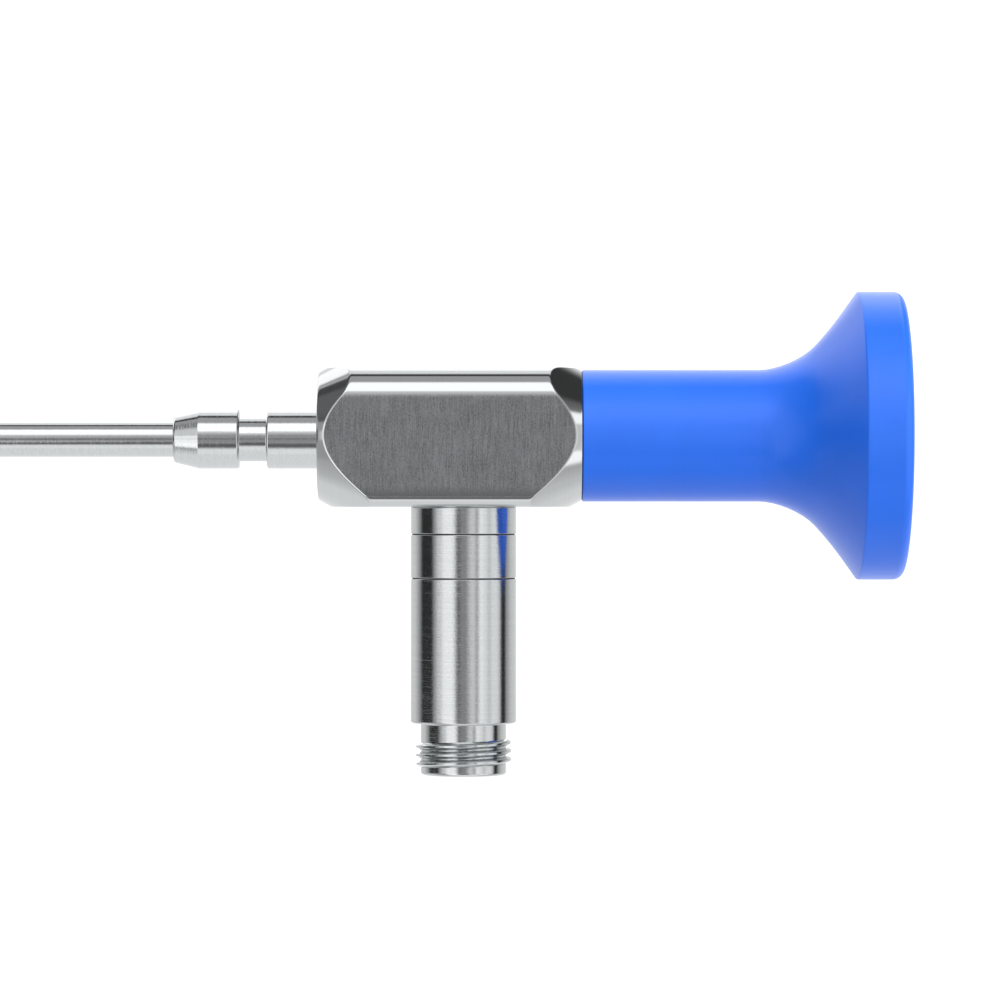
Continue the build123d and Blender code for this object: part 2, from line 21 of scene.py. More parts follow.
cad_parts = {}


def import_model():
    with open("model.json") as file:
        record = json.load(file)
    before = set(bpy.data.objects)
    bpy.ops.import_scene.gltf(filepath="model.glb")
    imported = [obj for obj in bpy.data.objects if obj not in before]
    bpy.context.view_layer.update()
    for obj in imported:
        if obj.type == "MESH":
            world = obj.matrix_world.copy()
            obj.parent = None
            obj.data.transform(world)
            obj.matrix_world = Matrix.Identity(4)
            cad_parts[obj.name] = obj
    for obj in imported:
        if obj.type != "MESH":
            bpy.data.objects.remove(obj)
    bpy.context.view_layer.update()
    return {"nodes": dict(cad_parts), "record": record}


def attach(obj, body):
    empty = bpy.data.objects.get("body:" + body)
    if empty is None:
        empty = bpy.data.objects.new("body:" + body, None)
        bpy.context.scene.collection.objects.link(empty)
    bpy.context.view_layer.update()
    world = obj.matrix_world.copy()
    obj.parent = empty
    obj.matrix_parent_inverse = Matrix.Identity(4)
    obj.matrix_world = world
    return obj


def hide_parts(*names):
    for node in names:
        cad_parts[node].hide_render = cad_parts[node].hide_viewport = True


log = logging.getLogger("scope")

Value = Any
Piece = bpy.types.Object
Test = Callable[[Vector], bool]
Colour = tuple[float, float, float]
Strip = tuple[float, float, float]

MM = 0.001  # metres in a millimetre
MERGE = 1e-4  # corners closer than this are one
NEAR = 1e-3  # how close a corner is found
KEYS_PER_MM = 2000  # how finely a corner's place is told from another
TURN_STEPS = 192  # steps in a full turn
TUBE_STEPS = 96  # steps in a full turn of the thin tube
ARC_STEP = math.radians(6)  # turn that one segment of a rounding takes
LEAST_SEGMENTS = 3  # segments of the smallest rounding
HOLD = 0.04  # how far beside an edge its holding corner lies
SMOOTH = math.radians(32)  # edges that turn less are shaded smooth
MEAN = 0.5  # a noise's average
HALF_TURN = 180  # in degrees


class Turning(Enum):
    """The axis that a piece is turned about."""

    OPTICAL = "optical axis"
    SHAFT = "shaft's own axis"
    POST = "light post's axis"


@dataclass(frozen=True)
class ScopeFrame:
    """The scope's own axes in the world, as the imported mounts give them."""

    origin: Vector
    along: Vector
    away: Vector
    facing: Vector
    shaft_drop: float = 0.34

    @classmethod
    def read(cls, record: dict[str, Any]) -> ScopeFrame:
        """Find the axes from the eyepiece rim and the light post.

        Args:
            record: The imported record.

        Returns:
            The frame whose origin is where the post's axis crosses the optical axis.
        """
        mounts = {mount["name"]: mount for mount in record["mounts"]}
        rim = mounts["eyepiece_rim"]
        post = mounts["light_post_sleeve"]
        along = Vector(rim["axis"]).normalized()
        facing = along.cross(-Vector(post["axis"])).normalized()
        rim_place = Vector(rim["pos_m"])
        station = (Vector(post["pos_m"]) - rim_place).dot(along)
        return cls(rim_place + along * station, along, facing.cross(along), facing)

    @property
    def turn(self) -> Matrix:
        """The rotation from the scope's axes to the world's."""
        return Matrix((self.along, self.away, self.facing)).transposed()

    def point(self, x: float, y: float, z: float) -> Vector:
        """A place of the scope in the world, in metres."""
        return self.origin + self.turn @ (Vector((x, y, z)) * MM)

    def matrix(self, turning: Turning = Turning.OPTICAL) -> Matrix:
        """The step from a piece's own millimetres to the world's metres.

        Args:
            turning: The axis that the piece was turned about, which is its own x.

        Returns:
            The matrix that places the piece.
        """
        place = Matrix.Translation(self.origin) @ self.turn.to_4x4() @ Matrix.Scale(MM, 4)
        if turning is Turning.SHAFT:
            return place @ Matrix.Translation((0, -self.shaft_drop, 0))
        if turning is Turning.POST:
            return place @ Matrix(((0, 1, 0, 0), (-1, 0, 0, 0), (0, 0, 1, 0), (0, 0, 0, 1)))
        return place


@dataclass(frozen=True)
class Corner:
    """A corner of a turned outline: its place along the axis, its radius and its rounding."""

    along: float
    radius: float
    round: float = 0.0

    @property
    def place(self) -> Vector:
        """The corner in the plane that the outline is drawn in."""
        return Vector((self.along, self.radius, 0))


class Bench:
    """Models pieces with Blender's own tools, in the scope's millimetres."""

    def __init__(self, frame: ScopeFrame) -> None:
        """Keep the frame that the pieces are placed in."""
        self.frame = frame

    @staticmethod
    def clear() -> None:
        """Deselect everything, so that an operator acts on the new piece alone."""
        bpy.ops.object.select_all(action="DESELECT")

    @staticmethod
    def take(piece: Piece) -> None:
        """Select one piece alone and make it the active one."""
        Bench.clear()
        piece.select_set(True)
        bpy.context.view_layer.objects.active = piece

    @staticmethod
    def edit(piece: Piece, kind: str = "VERT") -> None:
        """Enter edit mode on one piece.

        Args:
            piece: The piece to shape.
            kind: What is selected there: VERT, EDGE or FACE.
        """
        Bench.take(piece)
        bpy.ops.object.mode_set(mode="EDIT")
        bpy.ops.mesh.select_mode(type=kind)

    @staticmethod
    def leave() -> None:
        """Go back to object mode."""
        bpy.ops.object.mode_set(mode="OBJECT")

    @staticmethod
    def pick(piece: Piece, test: Test, kind: str = "VERT") -> int:
        """Select in edit mode what lies wholly where the test says.

        Args:
            piece: The piece in edit mode.
            test: Says of a place whether it counts.
            kind: What is selected: VERT, EDGE or FACE.

        Returns:
            How many were selected.
        """
        bpy.ops.mesh.select_mode(type=kind)
        bpy.ops.mesh.select_all(action="DESELECT")
        mesh = bmesh.from_edit_mesh(piece.data)
        if kind == "VERT":
            chosen = [vertex for vertex in mesh.verts if test(vertex.co)]
        else:
            parts = mesh.edges if kind == "EDGE" else mesh.faces
            chosen = [part for part in parts if all(test(vertex.co) for vertex in part.verts)]
        for part in chosen:
            part.select_set(True)
        mesh.select_flush(True)
        bmesh.update_edit_mesh(piece.data)
        return len(chosen)

    @staticmethod
    def near(place: Vector) -> Test:
        """A test for being at one place."""
        return lambda co: (co - place).length < NEAR

    @staticmethod
    def bevel(offset: float, segments: int = LEAST_SEGMENTS, affect: str = "EDGES") -> None:
        """Round what is selected in edit mode."""
        bpy.ops.mesh.bevel(offset=offset, offset_type="OFFSET", segments=segments, affect=affect)

    def loop(self, name: str, places: Sequence[Vector]) -> Piece:
        """Make a closed wire from a circle whose corners are moved to their places.

        Args:
            name: The piece's name.
            places: The corners in order.

        Returns:
            The wire, as an object.
        """
        self.clear()
        bpy.ops.mesh.primitive_circle_add(vertices=len(places), radius=1, fill_type="NOTHING")
        piece = bpy.context.object
        piece.name = name
        piece.data.name = name
        for vertex, place in zip(piece.data.vertices, places):
            vertex.co = place
        return piece

    def outline(self, name: str, corners: Sequence[Corner]) -> Piece:
        """Draw a closed outline with its corners rounded and held by close neighbours.

        Args:
            name: The piece's name.
            corners: The outline's corners in order.

        Returns:
            The outline, as a wire in the plane of x and y.
        """
        count = len(corners)
        places: list[Vector] = []
        rounds: list[tuple[Vector, float, int]] = []
        tangents = []
        for index, corner in enumerate(corners):
            back = (corners[index - 1].place - corner.place).normalized()
            on = (corners[(index + 1) % count].place - corner.place).normalized()
            turn = math.pi - back.angle(on)
            tangents.append(corner.round * math.tan(turn / 2))
            if corner.round:
                segments = max(LEAST_SEGMENTS, round(turn / ARC_STEP))
                rounds.append((corner.place, tangents[-1], segments))
        for index, corner in enumerate(corners):
            following = (index + 1) % count
            run = corners[following].place - corner.place
            places.append(corner.place)
            spare = run.length - tangents[index] - tangents[following]
            if spare > 3 * HOLD and (corner.radius > 0 or corners[following].radius > 0):
                way = run.normalized()
                places.append(corner.place + way * (tangents[index] + HOLD))
                places.append(corners[following].place - way * (tangents[following] + HOLD))
        piece = self.loop(name, places)
        self.edit(piece)
        for place, tangent, segments in rounds:
            self.pick(piece, self.near(place))
            self.bevel(tangent, segments, "VERTICES")
        if self.pick(piece, lambda co: co.y < MERGE, "EDGE"):
            bpy.ops.mesh.delete(type="EDGE_FACE")
        self.leave()
        return piece

    def turned(self, name: str, corners: Sequence[Corner], steps: int = TURN_STEPS) -> Piece:
        """Turn an outline about its own x.

        Args:
            name: The piece's name.
            corners: The outline's corners in order.
            steps: How many steps the full turn takes.

        Returns:
            The closed piece, not yet placed.
        """
        piece = self.outline(name, corners)
        self.edit(piece)
        bpy.ops.mesh.select_all(action="SELECT")
        bpy.ops.mesh.spin(steps=steps, angle=math.tau, center=(0, 0, 0), axis=(1, 0, 0))
        self.tidy()
        return piece

    @staticmethod
    def tidy() -> None:
        """Merge what coincides, point every face outwards and go back to object mode."""
        bpy.ops.mesh.select_all(action="SELECT")
        bpy.ops.mesh.remove_doubles(threshold=MERGE)
        bpy.ops.mesh.normals_make_consistent(inside=False)
        Bench.leave()

    def place(self, piece: Piece, turning: Turning) -> None:
        """Put a finished piece in its place and keep that place in its mesh.

        Args:
            piece: The piece, in its own millimetres.
            turning: The axis that it was turned about.
        """
        self.take(piece)
        piece.matrix_world = self.frame.matrix(turning)
        bpy.ops.object.transform_apply(location=True, rotation=True, scale=True)
        bpy.ops.object.shade_smooth_by_angle(angle=SMOOTH)

    def modify(self, piece: Piece, kind: str, **settings: Any) -> None:
        """Add a modifier with its settings and apply it.

        Args:
            piece: The piece to change.
            kind: The modifier's type.
            settings: What is set on it.
        """
        self.take(piece)
        modifier = piece.modifiers.new(kind.title(), kind)
        for key, value in settings.items():
            setattr(modifier, key, value)
        bpy.ops.object.modifier_apply(modifier=modifier.name)


class Term:
    """A shader value that Python's operators work on, each of which adds a Math node."""

    def __init__(self, graph: Graph, socket: bpy.types.NodeSocket) -> None:
        """Wrap a socket that a node of the graph gives."""
        self.graph = graph
        self.socket = socket

    def maths(self, operation: str, *values: Value) -> Term:
        """The result of a Math node.

        Args:
            operation: What the node does.
            values: What goes into it, in order.

        Returns:
            The node's value.
        """
        keys = ("Value", "Value_001", "Value_002")
        return self.graph.node("ShaderNodeMath", {"operation": operation}, dict(zip(keys, values)))

    def __add__(self, other: Value) -> Term:
        """Self plus other."""
        return self.maths("ADD", self, other)

    def __sub__(self, other: Value) -> Term:
        """Self minus other."""
        return self.maths("SUBTRACT", self, other)

    def __mul__(self, other: Value) -> Term:
        """Self times other."""
        return self.maths("MULTIPLY", self, other)

    def __truediv__(self, other: Value) -> Term:
        """Self divided by other."""
        return self.maths("DIVIDE", self, other)

    def over(self, low: float, high: float) -> Term:
        """From low to high as self runs from 0 to 1."""
        return self * (high - low) + low

    def size(self) -> Term:
        """Self without its sign."""
        return self.maths("ABSOLUTE", self)

    def at_least(self, low: float) -> Term:
        """Self, or low where self is less."""
        return self.maths("MAXIMUM", self, low)

    def angle(self, other: Value) -> Term:
        """The angle of the point whose height is self and whose width is other."""
        return self.maths("ARCTAN2", self, other)

    def hypot(self, other: Term) -> Term:
        """The length of the arm whose two sides are self and other."""
        return self.maths("SQRT", self * self + other * other)

    def between(self, low: float, high: float) -> Term:
        """A smooth step from 0 at low to 1 at high."""
        settings = {"interpolation_type": "SMOOTHSTEP"}
        sockets = {"Value": self, "From Min": low, "From Max": high}
        return self.graph.node("ShaderNodeMapRange", settings, sockets)


class Graph:
    """Builds a node tree, one node at a time."""

    def __init__(self, tree: bpy.types.NodeTree) -> None:
        """Empty the tree and keep it."""
        tree.nodes.clear()
        self.tree = tree

    def node(
        self,
        kind: str,
        settings: dict[str, Any] | None = None,
        sockets: dict[str, Value] | None = None,
        result: str | None = None,
    ) -> Term:
        """Add a node, set it up and link it.

        Args:
            kind: The node's type.
            settings: Properties that are set first; "stops" are a ramp's places and values.
            sockets: Values or terms for the node's sockets, by identifier or name.
            result: The output's identifier or name, where it isn't the first that is on.

        Returns:
            The chosen output.
        """
        node = self.tree.nodes.new(kind)
        for key, value in (settings or {}).items():
            if key == "stops":
                self._stops(node.color_ramp, value)
            else:
                setattr(node, key, value)
        for key, value in (sockets or {}).items():
            socket = self._find(node.inputs, key)
            if isinstance(value, Term):
                self.tree.links.new(value.socket, socket)
            elif isinstance(value, tuple) and len(value) == 3 and socket.type == "RGBA":
                socket.default_value = (*value, 1.0)
            else:
                socket.default_value = value
        outputs = [socket for socket in node.outputs if socket.enabled]
        chosen = self._find(node.outputs, result) if result else (outputs or [None])[0]
        return Term(self, chosen)

    @staticmethod
    def _find(sockets: Iterable[bpy.types.NodeSocket], key: str) -> bpy.types.NodeSocket:
        """The socket with an identifier or, failing that, with a name."""
        shown = [socket for socket in sockets if socket.enabled]
        named = [socket for socket in shown if socket.identifier == key]
        return (named or [socket for socket in shown if socket.name == key])[0]

    @staticmethod
    def _stops(ramp: bpy.types.ColorRamp, stops: Sequence[tuple[float, Any]]) -> None:
        """Give a ramp its stops."""
        while len(ramp.elements) < len(stops):
            ramp.elements.new(1.0)
        for element, (position, shade) in zip(ramp.elements, stops):
            element.position = position
            colour = shade if isinstance(shade, tuple) else (shade, shade, shade)
            element.color = (*colour, 1.0)

    def ramp(self, factor: Term, stops: Sequence[tuple[float, Any]]) -> Term:
        """A colour ramp with its stops in rising order."""
        return self.node("ShaderNodeValToRGB", {"stops": stops}, {"Fac": factor}, "Color")

    def mix(self, factor: Value, low: Value, high: Value) -> Term:
        """A colour between two others."""
        sockets = {"Factor_Float": factor, "A_Color": low, "B_Color": high}
        return self.node("ShaderNodeMix", {"data_type": "RGBA"}, sockets, "Result_Color")

    def vector(self, x: Value, y: Value, z: Value) -> Term:
        """A vector from its three parts."""
        return self.node("ShaderNodeCombineXYZ", None, {"X": x, "Y": y, "Z": z})

    def noise(self, place: Term, scale: float, detail: float = 2.0, rough: float = 0.5) -> Term:
        """Soft noise in space, about MEAN on average."""
        sockets = {"Vector": place, "Scale": scale, "Detail": detail, "Roughness": rough}
        return self.node("ShaderNodeTexNoise", {"normalize": True}, sockets)


def shaded(colour: Colour, share: float) -> Colour:
    """A colour made darker or lighter by a share."""
    red, green, blue = (min(1.0, part * share) for part in colour)
    return red, green, blue


def blend(parts: Sequence[Term], shares: Sequence[float]) -> Term:
    """The sum of several parts, each by its share."""
    first, *rest = [part * share for part, share in zip(parts, shares)]
    return sum(rest, first)


@dataclass(frozen=True)
class Weave:
    """How fine a noise is along an axis and across it, in periods a millimetre."""

    along: float
    across: float
    detail: float = 2.0
    rough: float = 0.5
    ringed: bool = False


class Finish:
    """A material whose pattern lies along the scope's own axes."""

    name = "finish"
    turning = Turning.OPTICAL
    relief = 0.0
    bite = 0.4

    def __init__(self, frame: ScopeFrame) -> None:
        """Make the material.

        Args:
            frame: The scope's axes, which the pattern follows.
        """
        self.frame = frame
        self.material = bpy.data.materials.new(self.name)
        self.material.use_nodes = True
        self.graph = Graph(self.material.node_tree)
        self.place = self.axes()
        self.paint()

    def paint(self) -> None:
        """Build the material's nodes; each finish has its own."""
        raise NotImplementedError

    def axes(self) -> list[Term]:
        """The place on the piece, in millimetres along the turning axis and square to it."""
        graph = self.graph
        matrix = self.frame.matrix(self.turning)
        sockets = {
            "Vector": graph.node("ShaderNodeTexCoord", None, None, "Object"),
            "Location": matrix.to_translation(),
            "Rotation": matrix.to_euler(),
            "Scale": matrix.to_scale(),
        }
        place = graph.node("ShaderNodeMapping", {"vector_type": "TEXTURE"}, sockets)
        split = {"Vector": place}
        return [graph.node("ShaderNodeSeparateXYZ", None, split, axis) for axis in "XYZ"]

    def noise(self, weave: Weave) -> Term:
        """Soft noise over the surface, about MEAN on average.

        Args:
            weave: How fine it is; a ringed one is the same all round the axis.

        Returns:
            The noise.
        """
        x, y, z = self.place
        if weave.ringed:
            spot = self.graph.vector(x * weave.along, y.hypot(z) * weave.across, 0.0)
        else:
            spot = self.graph.vector(x * weave.along, y * weave.across, z * weave.across)
        return self.graph.noise(spot, 1.0, weave.detail, weave.rough)

    def facing(self) -> Term:
        """How squarely the surface faces along the scope's z, to either side, from 0 to 1."""
        sockets = {
            "Vector": self.graph.node("ShaderNodeTexCoord", None, None, "Normal"),
            "Vector_001": tuple(self.frame.facing),
        }
        kind = {"operation": "DOT_PRODUCT"}
        return self.graph.node("ShaderNodeVectorMath", kind, sockets, "Value").size()

    def tint(self, factor: Term, colour: Colour, low: float, high: float) -> Term:
        """A colour between two shares of itself."""
        return self.graph.mix(factor, shaded(colour, low), shaded(colour, high))

    def bump(self, height: Term) -> Term:
        """A normal that a height bends, as deep as this finish's relief in metres."""
        sockets = {"Height": height, "Distance": self.relief, "Strength": self.bite}
        return self.graph.node("ShaderNodeBump", None, sockets)

    def close(self, **sockets: Value) -> None:
        """Add the surface shader and the output.

        Args:
            sockets: The shader's sockets, with words joined by underscores.
        """
        named = {key.replace("_", " "): value for key, value in sockets.items()}
        surface = self.graph.node("ShaderNodeBsdfPrincipled", None, named)
        self.graph.node("ShaderNodeOutputMaterial", None, {"Surface": surface})

    def dress(self, piece: Piece) -> None:
        """Give a piece this finish all over."""
        piece.data.materials.clear()
        piece.data.materials.append(self.material)


class GroundSteel(Finish):
    """Bar steel with its two flats ground across and its rounds and cones left bright."""

    name = "ground_steel"
    bright = (0.56, 0.58, 0.585)
    ground = (0.318, 0.333, 0.34)
    # foot is painted shade: a darker colour over the bottom band of each flat, fading out upwards
    # across the band's heights
    foot = (0.215, 0.226, 0.231)
    painted_shade_band = (-6.9, -5.3)
    fine = Weave(9.0, 0.5, 3.0, 0.7)
    broad = Weave(2.6, 0.15, 3.0, 0.6)
    grain = Weave(9.0, 4.5, 2.0, 0.6)
    shares = (0.45, 0.13, 0.42)
    cloud = Weave(0.25, 0.25)
    rings = Weave(9.0, 9.0, 2.0, 0.6, ringed=True)
    flat_band = (0.987, 0.9992)
    ragged = 0.016
    contrast = 3.4
    cloudiness = 0.4
    relief = 0.000014
    bite = 0.6

    def paint(self) -> None:
        """Streaks over the flats, which run out in the rounds, faint rings elsewhere, and painted
        shade darkening the flats' bottom band.
        """
        fine, rings = self.noise(self.fine), self.noise(self.rings)
        marks = blend((fine, self.noise(self.broad), self.noise(self.grain)), self.shares)
        flat = (self.facing() + (fine - MEAN) * self.ragged).between(*self.flat_band)
        cloud = (self.noise(self.cloud) - MEAN) * self.cloudiness
        shade = (marks - MEAN) * self.contrast + cloud + MEAN
        # painted shade: the flats take the darker foot colour towards their bottom
        low = self.place[1].between(*self.painted_shade_band)
        ground = self.graph.mix(low, self.foot, self.tint(shade, self.ground, 0.6, 1.4))
        self.close(
            Base_Color=self.graph.mix(flat, self.tint(rings, self.bright, 0.92, 1.0), ground),
            Metallic=1.0,
            Roughness=rings.over(0.07, 0.12) + flat * marks.over(0.13, 0.29),
            Normal=self.bump(flat * marks + rings * 0.12),
        )


class TurnedSteel(Finish):
    """Steel turned and polished, with the tool's fine rings round one axis."""

    name = "turned_steel"
    turning = Turning.POST
    colour = (0.57, 0.59, 0.595)
    weaves = (Weave(12.0, 0.05, 3.0, 0.6), Weave(3.0, 0.04), Weave(6.0, 3.0, 2.0, 0.6))
    shares = (0.45, 0.15, 0.4)
    relief = 0.000022
    bite = 0.7

    def paint(self) -> None:
        """Rings in height and sheen, a little speckle and faint wear."""
        marks = blend([self.noise(weave) for weave in self.weaves], self.shares)
        self.close(
            Base_Color=self.tint(marks.over(-0.1, 1.3), self.colour, 0.78, 1.12),
            Metallic=1.0,
            Roughness=marks.over(0.06, 0.14),
            Normal=self.bump(marks),
        )


class TurnedShaftSteel(TurnedSteel):
    """The same steel, turned about the shaft."""

    name = "turned_shaft_steel"
    turning = Turning.SHAFT


class BluePlastic(Finish):
    """Blue plastic moulded with a satin skin."""

    name = "blue_plastic"
    colour = (0.017, 0.162, 0.885)
    weaves = (Weave(0.16, 0.16), Weave(9.0, 9.0, 3.0, 0.6), Weave(6.0, 0.05))
    shares = (0.6, 0.25, 0.15)
    relief = 0.000008

    def paint(self) -> None:
        """A fine skin, faint clouds of shade and worn gloss."""
        cloud, skin, rings = (self.noise(weave) for weave in self.weaves)
        shade = blend((cloud, skin, rings), self.shares)
        self.close(
            Base_Color=self.tint(shade, self.colour, 0.86, 1.12),
            Roughness=skin.over(0.23, 0.31) + cloud * 0.06,
            Normal=self.bump(blend((skin, rings), (0.7, 0.3))),
            Specular_IOR_Level=0.4,
        )


class BlackMetal(Finish):
    """Aluminium anodised black."""

    name = "black_metal"
    dark = (0.012, 0.012, 0.014)
    light = (0.032, 0.032, 0.035)
    weaves = (Weave(12.0, 12.0, 3.0, 0.6), Weave(12.0, 12.0, ringed=True))
    relief = 0.000006
    bite = 0.5

    def paint(self) -> None:
        """Fine rings and a matt grain, half and half."""
        marks = blend([self.noise(weave) for weave in self.weaves], (0.5, 0.5))
        self.close(
            Base_Color=self.graph.mix(marks, self.dark, self.light),
            Metallic=0.4,
            Roughness=marks.over(0.38, 0.56),
            Normal=self.bump(marks),
        )


class OpticalGlass(Finish):
    """Polished glass with a faint coating."""

    name = "optical_glass"
    cool = (0.86, 0.93, 0.97)
    warm = (0.95, 0.97, 0.93)
    weave = Weave(0.5, 0.5, 1.0, 0.4)

    def paint(self) -> None:
        """A clear body whose tint drifts a little, as a coating's does."""
        drift = self.noise(self.weave)
        self.close(
            Base_Color=self.graph.mix(drift, self.cool, self.warm),
            Roughness=drift.over(0.015, 0.035),
            Transmission_Weight=1.0,
            IOR=1.52,
        )


class FibreGlass(Finish):
    """The ground end of thousands of thin glass fibres."""

    name = "fibre_glass"
    clad = (0.32, 0.27, 0.19)
    core = (0.86, 0.8, 0.66)
    cells = 16.0
    cell_edge = (0.25, 0.6)
    weave = Weave(2.5, 2.5)
    relief = 0.00001

    def paint(self) -> None:
        """Fibre ends as tiny cells, warm and pale."""
        sockets = {"Vector": self.graph.vector(*self.place), "Scale": self.cells}
        cells = self.graph.node("ShaderNodeTexVoronoi", None, sockets, "Distance")
        tone = self.noise(self.weave)
        core = cells.between(*self.cell_edge).over(1.0, 0.0)
        self.close(
            Base_Color=self.graph.mix(blend((core, tone), (0.8, 0.2)), self.clad, self.core),
            Roughness=tone.over(0.25, 0.4),
            Normal=self.bump(core),
        )


class SealRubberAndSeamShade(Finish):
    """Black rubber of the sealing rings, and of the black rings that paint the shade in the post's
    joints.
    """

    name = "seal_rubber"
    dark = (0.012, 0.012, 0.012)
    light = (0.035, 0.035, 0.034)
    weave = Weave(6.0, 6.0, 3.0, 0.6)
    relief = 0.00002

    def paint(self) -> None:
        """A dull skin with dust in it."""
        grain = self.noise(self.weave)
        self.close(
            Base_Color=self.graph.mix(grain, self.dark, self.light),
            Roughness=grain.over(0.55, 0.8),
            Normal=self.bump(grain),
        )


@dataclass
class Workshop:
    """What a sub-assembly needs to be made: the bench and one of each finish."""

    bench: Bench
    looks: dict[type[Finish], Finish]

    @classmethod
    def open(cls, frame: ScopeFrame) -> Workshop:
        """Make the bench and every finish for one frame."""
        steels = (GroundSteel, TurnedSteel, TurnedShaftSteel)
        others = (BluePlastic, BlackMetal, OpticalGlass, FibreGlass, SealRubberAndSeamShade)
        return cls(Bench(frame), {look: look(frame) for look in steels + others})

    def finish(
        self,
        piece: Piece,
        turning: Turning,
        look: type[Finish],
        slot: str,
        node: str | None = None,
    ) -> None:
        """Place a piece, dress it and let it stand for its solid.

        Args:
            piece: The piece in its own millimetres.
            turning: The axis that it was turned about.
            look: The kind of its finish.
            slot: The record's material slot; not used.
            node: The solid that it replaces, if there is one.
        """
        self.bench.place(piece, turning)
        self.looks[look].dress(piece)
        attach(piece, "root")
        if node:
            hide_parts(node)
        log.info("%s: %d faces", piece.name, len(piece.data.polygons))

    def turn(self, name: str, corners: Sequence[Corner], *finish: Any) -> None:
        """Turn an outline and finish it.

        Args:
            name: The piece's name.
            corners: The outline's corners in order.
            finish: What finish takes after the piece.
        """
        self.finish(self.bench.turned(name, corners), *finish)


@dataclass
class Shaft:
    """The 4 mm tube with its slanting tip, and the collar that carries it."""

    working_length: float = 140.0
    diameter: float = 4.0
    wall: float = 0.15
    view_angle: float = 30.0
    tip_break: float = 0.05
    slide_gap: float = 0.03
    collar_front: float = -31.9
    collar_back: float = -15.95
    spigot_back: float = -12.45
    nose_radius: float = 2.6
    nose_length: float = 2.8
    nose_round: float = 0.35
    collar_radius: float = 3.3
    front_land: float = 4.4
    groove_radius: float = 2.5
    groove_length: float = 3.1
    edge_round: float = 0.2
    root_round: float = 0.12
    spigot_radius: float = 2.8

    def collar(self, shop: Workshop) -> None:
        """Turn the collar: nose cone, front land, lock groove, rear land and spigot."""
        land = self.collar_front + self.nose_length
        groove = land + self.front_land
        groove_back = groove + self.groove_length
        bore = self.diameter / 2 + self.slide_gap
        corners = [
            Corner(self.collar_front, bore),
            Corner(self.collar_front, self.nose_radius, self.nose_round),
            Corner(land, self.collar_radius, self.edge_round),
            Corner(groove, self.collar_radius, self.edge_round),
            Corner(groove, self.groove_radius, self.root_round),
            Corner(groove_back, self.groove_radius, self.root_round),
            Corner(groove_back, self.collar_radius, self.edge_round),
            Corner(self.collar_back, self.collar_radius),
            Corner(self.collar_back, self.spigot_radius),
            Corner(self.spigot_back, self.spigot_radius),
            Corner(self.spigot_back, bore),
        ]
        look = (Turning.SHAFT, TurnedShaftSteel, "polished_steel", "shaft_collar")
        shop.turn("collar", corners, *look)

    def tube(self, shop: Workshop) -> None:
        """Turn the outer tube and cut its tip at a slant."""
        bench = shop.bench
        tip = self.collar_front - self.working_length
        radius = self.diameter / 2
        bore = radius - self.wall
        corners = [
            Corner(tip - self.diameter, radius),
            Corner(self.spigot_back, radius),
            Corner(self.spigot_back, bore),
            Corner(tip - self.diameter, bore),
        ]
        piece = bench.turned("shaft_tube", corners, TUBE_STEPS)
        slant = math.radians(self.view_angle)
        facing = Vector((-math.cos(slant), math.sin(slant), 0))
        cut = Vector((tip, 0, 0))
        bench.edit(piece, "EDGE")
        bpy.ops.mesh.select_all(action="SELECT")
        bpy.ops.mesh.bisect(plane_co=cut, plane_no=facing, clear_outer=True)

        def on_cut(co: Vector) -> bool:
            """Whether a place lies on the cut."""
            return abs((co - cut).dot(facing)) < MERGE

        bench.pick(piece, on_cut, "EDGE")
        bpy.ops.mesh.bridge_edge_loops()
        middle = radius - self.wall / 2
        bench.pick(piece, lambda co: on_cut(co) and co.yz.length > middle, "EDGE")
        bench.bevel(self.tip_break)
        bench.tidy()
        shop.finish(piece, Turning.SHAFT, TurnedShaftSteel, "polished_steel", "outer_shaft")

    def build(self, shop: Workshop) -> None:
        """Make the collar and the tube."""
        self.collar(shop)
        self.tube(shop)


